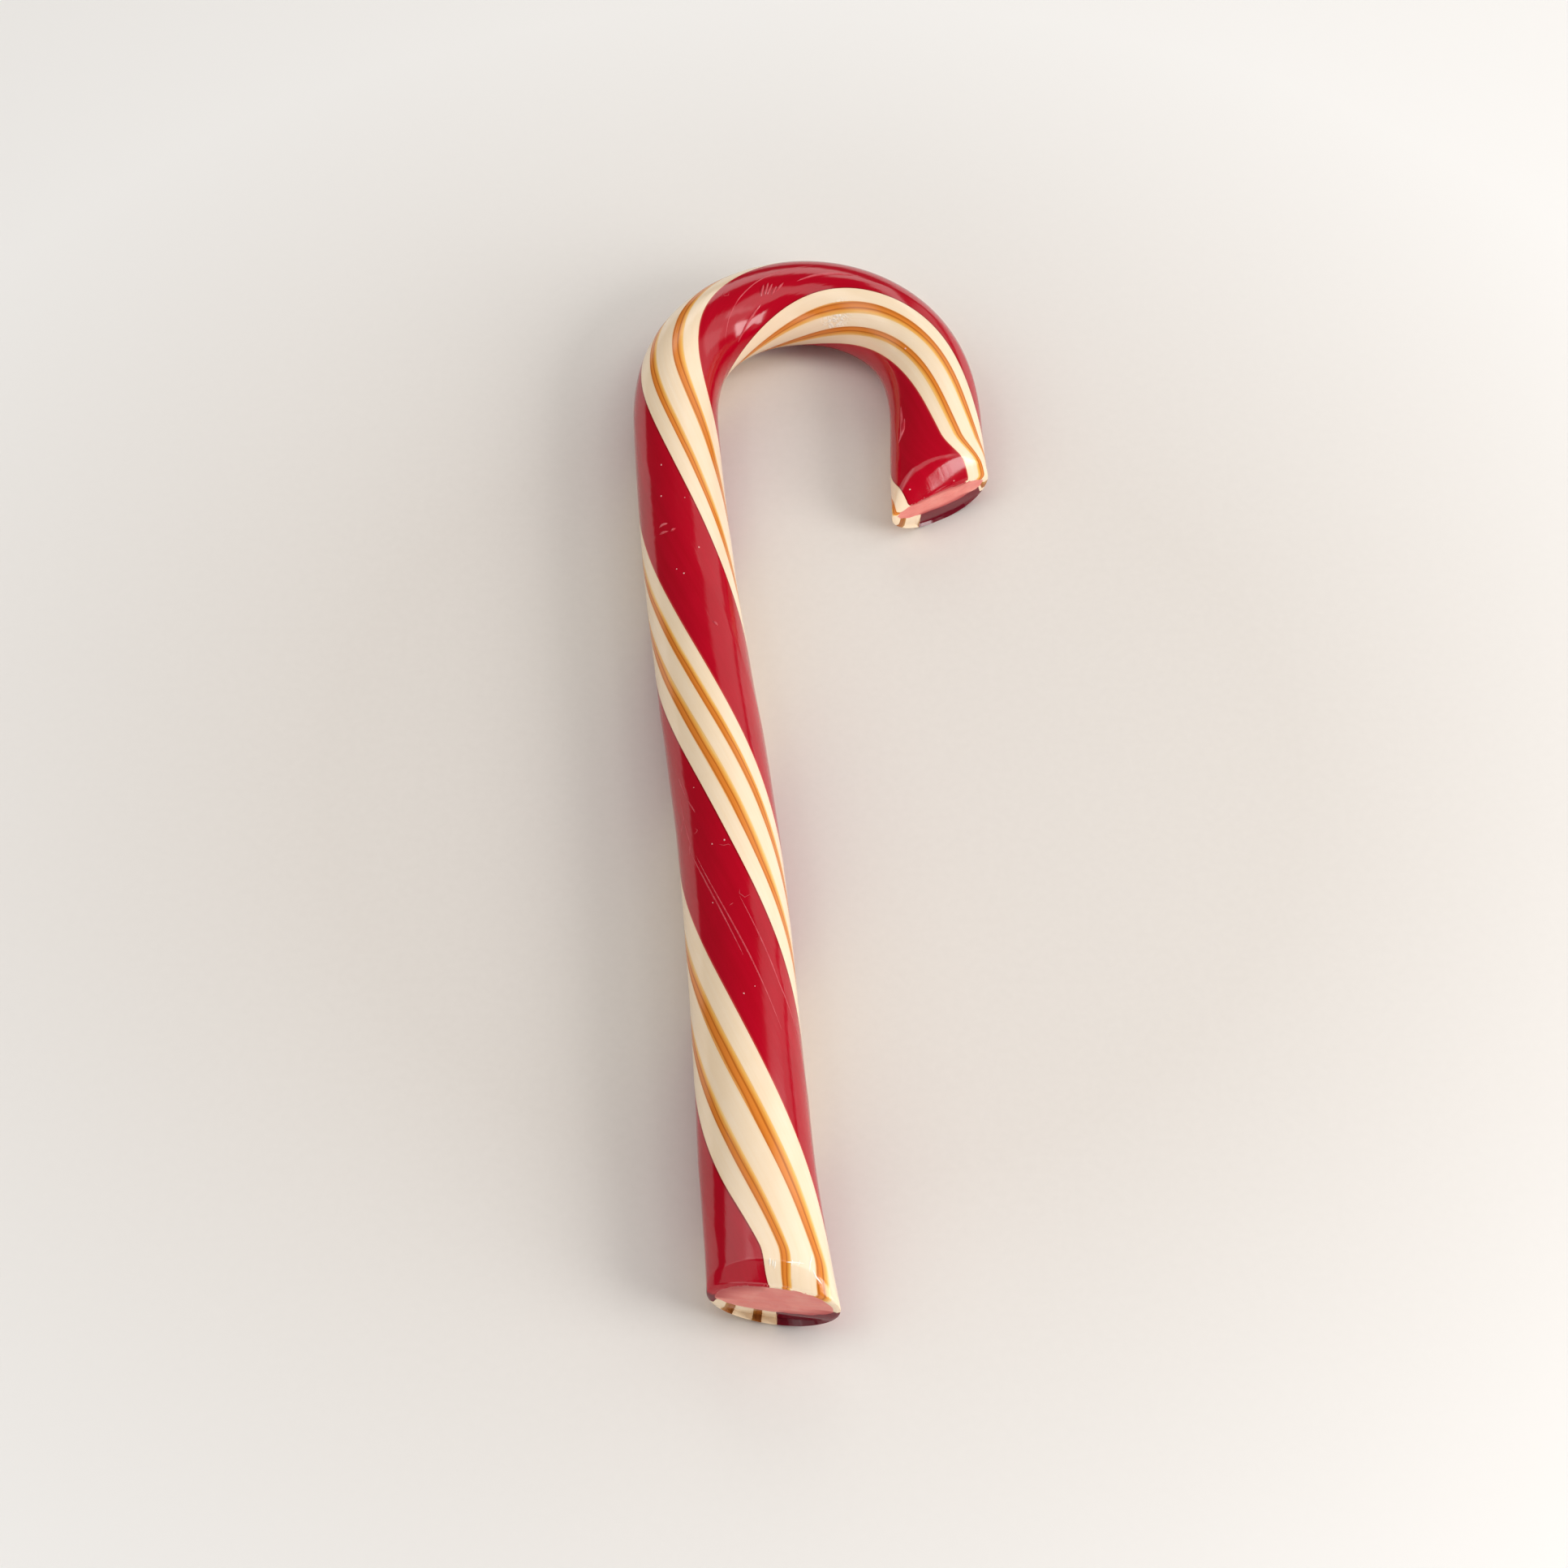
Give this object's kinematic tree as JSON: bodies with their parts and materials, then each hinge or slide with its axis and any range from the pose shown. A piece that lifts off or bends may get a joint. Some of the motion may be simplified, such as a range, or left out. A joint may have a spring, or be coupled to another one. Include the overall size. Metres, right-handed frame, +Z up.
{
  "type": "candy cane",
  "caption": "Boiled sugar candy cane lying on its side: a pulled pink core in a twisted jacket of red and cream bands with amber threads, bent into a hook, both ends snipped.",
  "frame": {"origin": "on the table, under the middle of the cane's bounding box", "axes": "+Z up, +Y along the shaft towards the hook, +X towards the side that the hook opens to"},
  "size_m": [0.046, 0.1618, 0.0123],
  "materials": {
    "red_candy": "glossy boiled sugar, deep red",
    "cream_candy": "glossy pulled sugar, warm cream",
    "amber_candy": "glossy translucent sugar, amber",
    "pink_core": "satin pulled sugar, dusty pink"
  },
  "bodies": {
    "root": {"amber_thread_a1": "amber_candy", "amber_thread_a2": "amber_candy", "amber_thread_b1": "amber_candy", "amber_thread_b2": "amber_candy", "cream_strip_a1": "cream_candy", "cream_strip_a2": "cream_candy", "cream_strip_a3": "cream_candy", "cream_strip_b1": "cream_candy", "cream_strip_b2": "cream_candy", "cream_strip_b3": "cream_candy", "pulled_core": "pink_core", "red_band_a": "red_candy", "red_band_b": "red_candy"}
  },
  "joints": []
}
